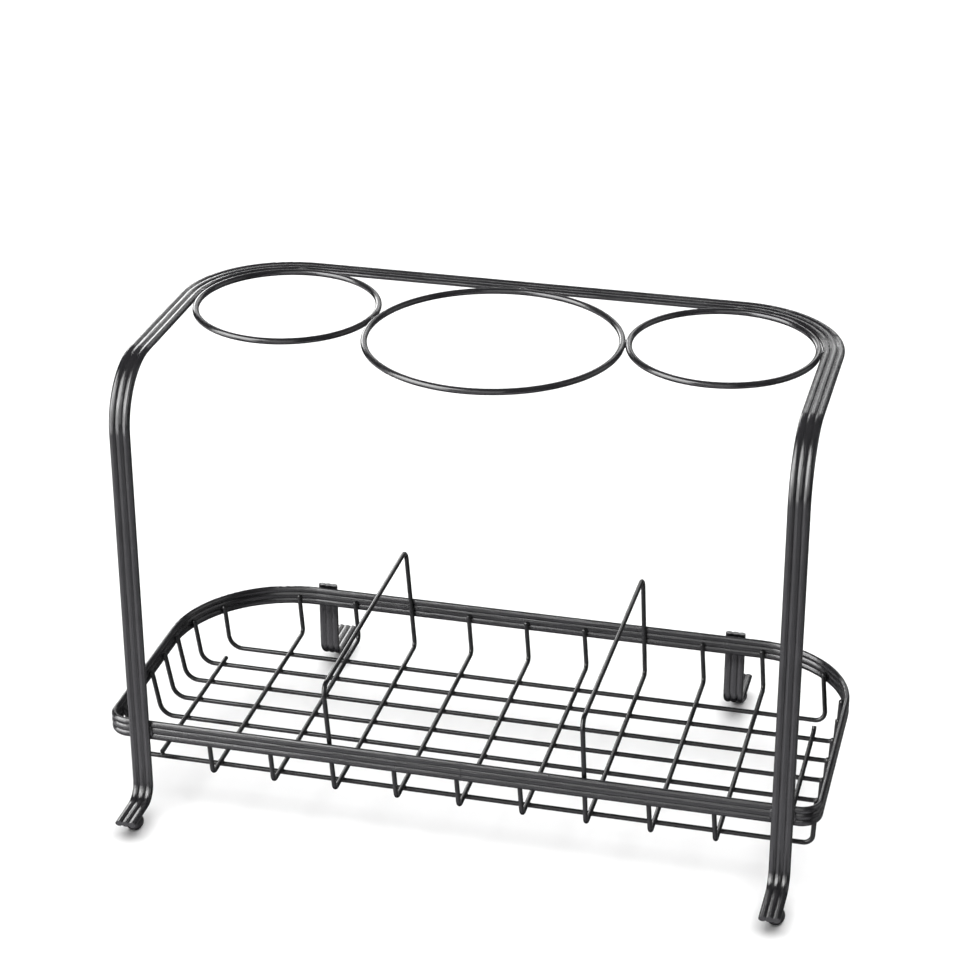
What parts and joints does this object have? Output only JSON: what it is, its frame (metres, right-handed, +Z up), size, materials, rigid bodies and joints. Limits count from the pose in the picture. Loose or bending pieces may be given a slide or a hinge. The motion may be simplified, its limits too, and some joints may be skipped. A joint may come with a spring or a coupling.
{
  "type": "hair dryer holder",
  "caption": "Free-standing wire rack: a ribbed-strap hoop carries three rings over a shallow wire basket with dividers, for a hair dryer and slim styling tools.",
  "frame": {"origin": "on the ground at the middle of the footprint, which is the bottom centre of the bounding box", "axes": "+X to the right along the basket, +Y to the back, +Z up"},
  "size_m": [0.2988, 0.1854, 0.2029],
  "materials": {
    "strap_coat": "semi-gloss black powder coat",
    "ring_coat": "semi-gloss black powder coat",
    "wire_coat": "semi-gloss black powder coat",
    "pad_rubber": "satin"
  },
  "bodies": {
    "root": {"front_leg_hoop": "strap_coat", "basket_rim": "strap_coat", "back_leg_left": "strap_coat", "back_leg_right": "strap_coat", "ring_left": "ring_coat", "ring_center": "ring_coat", "ring_right": "ring_coat", "long_wire_1": "wire_coat", "long_wire_2": "wire_coat", "long_wire_3": "wire_coat", "long_wire_4": "wire_coat", "long_wire_5": "wire_coat", "long_wire_6": "wire_coat", "long_wire_7": "wire_coat", "cross_wire_1": "wire_coat", "cross_wire_2": "wire_coat", "cross_wire_4": "wire_coat", "cross_wire_5": "wire_coat", "cross_wire_6": "wire_coat", "cross_wire_8": "wire_coat", "cross_wire_9": "wire_coat", "end_wire_left": "wire_coat", "end_wire_right": "wire_coat", "divider_left": "wire_coat", "divider_right": "wire_coat", "foot_pad_front_left": "pad_rubber", "foot_pad_front_right": "pad_rubber", "foot_pad_back_left": "pad_rubber", "foot_pad_back_right": "pad_rubber"}
  },
  "joints": []
}
